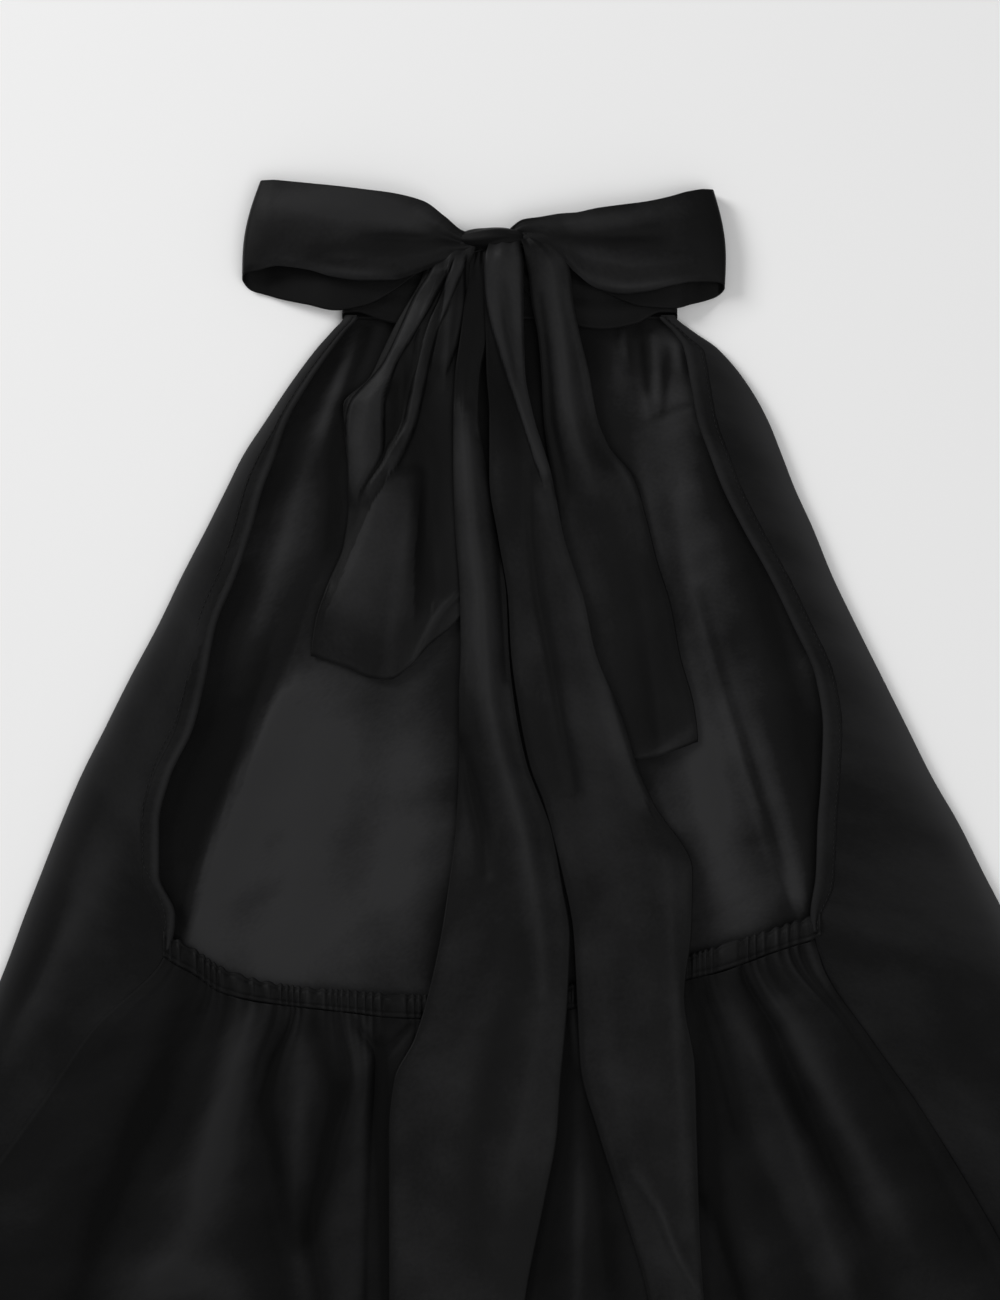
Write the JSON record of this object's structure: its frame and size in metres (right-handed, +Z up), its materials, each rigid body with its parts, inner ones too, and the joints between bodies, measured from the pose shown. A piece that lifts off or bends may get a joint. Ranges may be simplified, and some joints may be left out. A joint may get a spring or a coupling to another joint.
{
  "type": "sleeveless top (halter neck with a tied bow, open back, laid flat with its back up)",
  "caption": "Black sleeveless halter top laid flat with its open back up: neck tie in a bow with long ends, gathered elastic edge low on the back, flared body with soft pleats.",
  "frame": {"origin": "a point on the flat underside of the front panel, in the middle of the open back's width", "axes": "+X to the right as seen from above with the neck at the top, +Y towards the neck, +Z up from the surface that it lies on"},
  "size_m": [0.8332, 0.7642, 0.0227],
  "materials": {
    "body_cloth": "matt",
    "front_cloth": "satin",
    "tie_cloth": "satin"
  },
  "bodies": {
    "root": {"front_panel": "front_cloth", "front_side_left": "body_cloth", "front_side_right": "body_cloth", "armhole_band_left": "body_cloth", "armhole_band_right": "body_cloth", "back_panel": "body_cloth", "elastic_casing": "body_cloth", "neckband_front": "tie_cloth", "neckband_left": "tie_cloth", "neckband_right": "tie_cloth", "bow_loop_left": "tie_cloth", "bow_loop_right": "tie_cloth", "bow_knot": "tie_cloth", "tie_short_left": "tie_cloth", "tie_short_right": "tie_cloth", "tie_long_left": "tie_cloth", "tie_long_right": "tie_cloth"}
  },
  "joints": []
}
